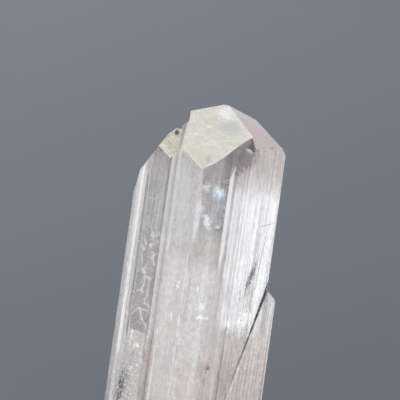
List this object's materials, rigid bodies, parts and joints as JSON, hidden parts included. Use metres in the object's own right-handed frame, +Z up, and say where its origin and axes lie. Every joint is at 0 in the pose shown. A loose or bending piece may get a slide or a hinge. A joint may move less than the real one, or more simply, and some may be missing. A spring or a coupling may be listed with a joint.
{
  "type": "danburite crystal",
  "caption": "Clear, faintly pink danburite: a tall striated prism with a frosted wedge-shaped tip and smaller prisms grown along its sides, cut flat at the foot.",
  "frame": {"origin": "centre of the bounding box's footprint, at the flat foot", "axes": "+Z up the crystals' common long axis, +Y away from the front prism edge, +X to the right as seen from the front"},
  "size_m": [0.0172, 0.017, 0.054],
  "materials": {
    "danburite": "glassy prism faces with fine lengthwise striations, frosted end faces, milky in the lower part"
  },
  "bodies": {
    "root": {"danburite_crystal": "danburite"}
  },
  "joints": []
}
